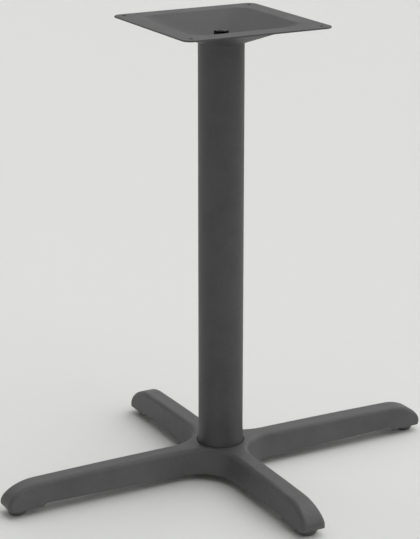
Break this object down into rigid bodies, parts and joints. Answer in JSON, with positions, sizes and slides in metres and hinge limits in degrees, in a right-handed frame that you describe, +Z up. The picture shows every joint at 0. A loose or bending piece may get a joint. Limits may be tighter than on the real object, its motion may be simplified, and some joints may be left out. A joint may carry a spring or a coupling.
{
  "type": "table base",
  "caption": "Cross-foot pedestal table base with a cast foot on screw-in glides, a round steel column and a dished square plate that takes a table top.",
  "frame": {"origin": "on the floor, under the column's axis", "axes": "+X along the longer arms, +Y along the shorter arms, +Z up the column"},
  "size_m": [0.742, 0.576, 0.72],
  "materials": {
    "coated_iron": "satin black powder coat over a cast skin",
    "coated_steel": "satin black powder coat",
    "dark_steel": "blackened and oiled",
    "zinc_steel": "dull zinc plate",
    "black_nylon": "moulded nylon"
  },
  "bodies": {
    "base": {"cross_foot": "coated_iron", "column": "coated_steel", "top_plate": "coated_steel", "plate_collar": "coated_steel", "tie_rod": "dark_steel", "top_washer": "dark_steel", "top_nut": "dark_steel", "base_washer": "dark_steel", "base_nut": "dark_steel"},
    "glide_1": {"glide_stem_1": "zinc_steel", "glide_foot_1": "black_nylon"},
    "glide_2": {"glide_stem_2": "zinc_steel", "glide_foot_2": "black_nylon"},
    "glide_3": {"glide_stem_3": "zinc_steel", "glide_foot_3": "black_nylon"},
    "glide_4": {"glide_stem_4": "zinc_steel", "glide_foot_4": "black_nylon"}
  },
  "joints": [
    {"name": "glide_1_level", "type": "slide", "parent": "base", "child": "glide_1", "axis": [0, 0, -1], "range_m": [0, 0.012]},
    {"name": "glide_2_level", "type": "slide", "parent": "base", "child": "glide_2", "axis": [0, 0, -1], "range_m": [0, 0.012]},
    {"name": "glide_3_level", "type": "slide", "parent": "base", "child": "glide_3", "axis": [0, 0, -1], "range_m": [0, 0.012]},
    {"name": "glide_4_level", "type": "slide", "parent": "base", "child": "glide_4", "axis": [0, 0, -1], "range_m": [0, 0.012]}
  ]
}
